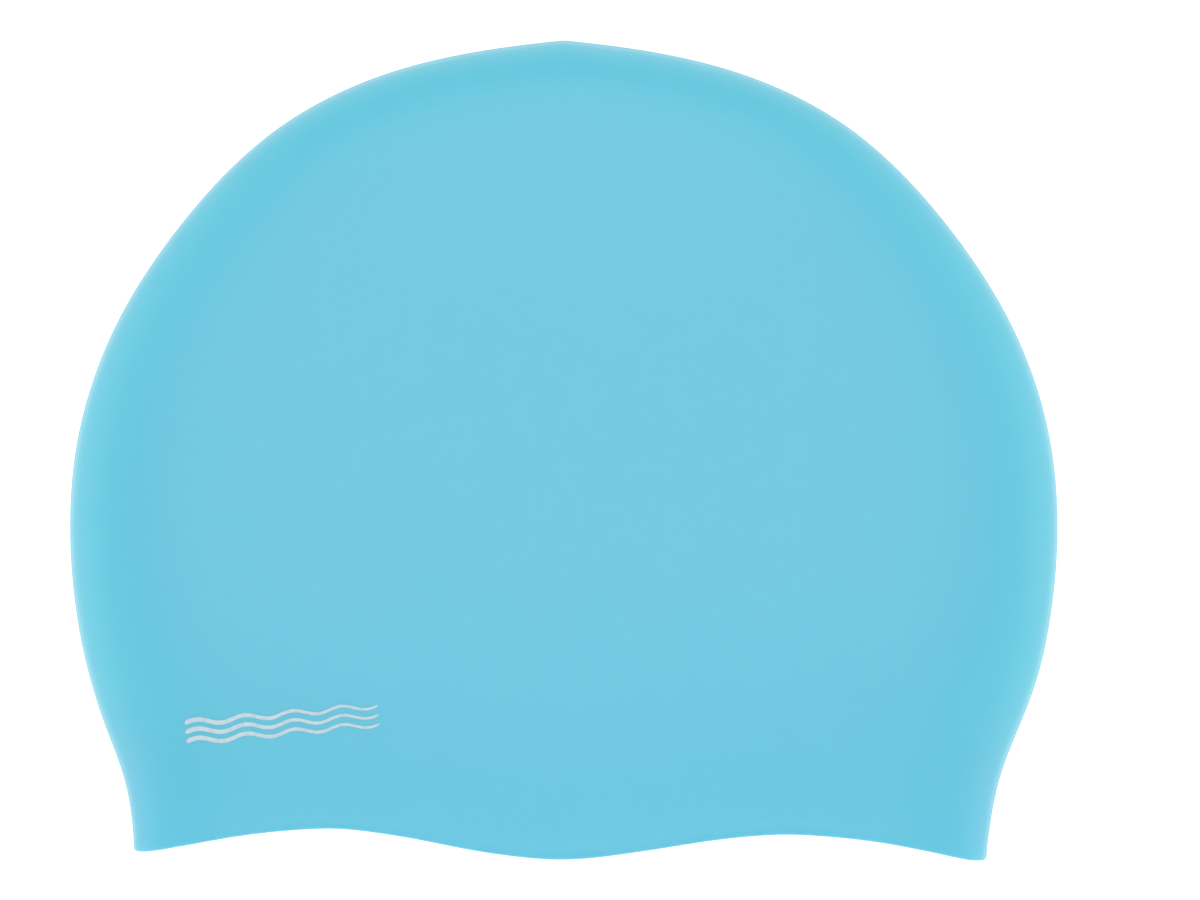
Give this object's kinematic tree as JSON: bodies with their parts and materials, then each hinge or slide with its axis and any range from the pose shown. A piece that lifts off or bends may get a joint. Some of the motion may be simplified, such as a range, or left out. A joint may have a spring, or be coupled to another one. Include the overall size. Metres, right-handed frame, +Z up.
{
  "type": "silicone swim cap",
  "caption": "Moulded swim cap lying flat on its side: a hollow dome with a rounded fold, a small crown tip and a wavy, beaded rim.",
  "frame": {"origin": "on the surface that the cap lies on, under the middle of its box", "axes": "+X across the cap to its right side as seen from above, +Y towards the tip of the crown, +Z up"},
  "size_m": [0.2252, 0.187, 0.03],
  "materials": {
    "silicone": "satin moulded silicone",
    "print": "pale matt print on the silicone"
  },
  "bodies": {
    "root": {"cap_shell": "silicone"}
  },
  "joints": []
}
